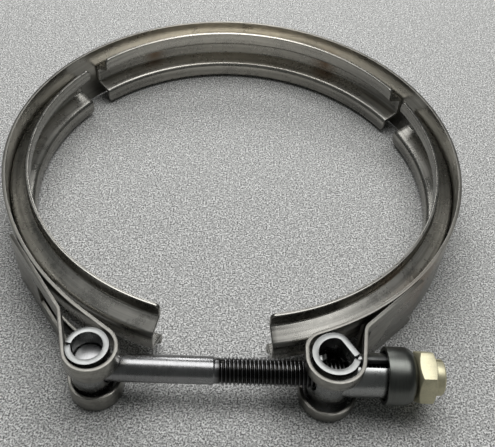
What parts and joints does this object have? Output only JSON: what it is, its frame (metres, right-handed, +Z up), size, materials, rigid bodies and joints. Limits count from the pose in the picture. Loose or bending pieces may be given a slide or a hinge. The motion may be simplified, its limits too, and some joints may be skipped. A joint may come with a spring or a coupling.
{
  "type": "v band clamp",
  "caption": "V band clamp: a slotted sheet strap carries pressed V retainers inside and is closed by a T-bolt through rolled trunnions with a sleeve, cup washer and lock nut.",
  "frame": {"origin": "on the clamp's axis, at the mid-height of the retainers' groove", "axes": "+Z up the clamp's axis, +X along the T-bolt towards its nut, -Y towards the bolt"},
  "size_m": [0.1244, 0.1347, 0.0182],
  "materials": {
    "strap_steel": "satin stainless sheet",
    "retainer_steel": "pressed stainless sheet, slightly tinted",
    "trunnion_steel": "satin steel with bright cut ends",
    "bolt_steel": "satin steel",
    "sleeve_steel": "satin steel",
    "cup_steel": "dark grey satin",
    "nut_zinc": "pale yellow zinc plate"
  },
  "bodies": {
    "ring": {"outer_band": "strap_steel", "left_retainer": "retainer_steel", "rear_retainer": "retainer_steel", "right_retainer": "retainer_steel"},
    "bolt": {"left_trunnion": "trunnion_steel", "t_bolt": "bolt_steel"},
    "saddle": {"right_trunnion": "trunnion_steel", "bolt_sleeve": "sleeve_steel"},
    "cup": {"cup_washer": "cup_steel"},
    "nut": {"lock_nut": "nut_zinc"}
  },
  "joints": [
    {"name": "bolt_swing", "type": "hinge", "parent": "ring", "child": "bolt", "pos_m": [-0.0307, -0.0653, 0], "axis": [0, 0, 1], "range_deg": [-0.55, 0.55]},
    {"name": "saddle_swing", "type": "hinge", "parent": "ring", "child": "saddle", "pos_m": [0.0231, -0.0653, 0], "axis": [0, 0, 1], "range_deg": [-0.55, 0.55]},
    {"name": "cup_slide", "type": "slide", "parent": "bolt", "child": "cup", "axis": [1, 0, 0], "range_m": [-0.0023, 0.003]},
    {"name": "nut_turn", "type": "hinge", "parent": "cup", "child": "nut", "pos_m": [0.042, -0.0653, 0.00035], "axis": [1, 0, 0], "range_deg": [-915, 1195]}
  ],
  "couplings": [
    {"joint": "saddle_swing", "follows": "bolt_swing", "ratio": 1},
    {"joint": "nut_turn", "follows": "cup_slide", "rad_per_m": 6926.4}
  ]
}
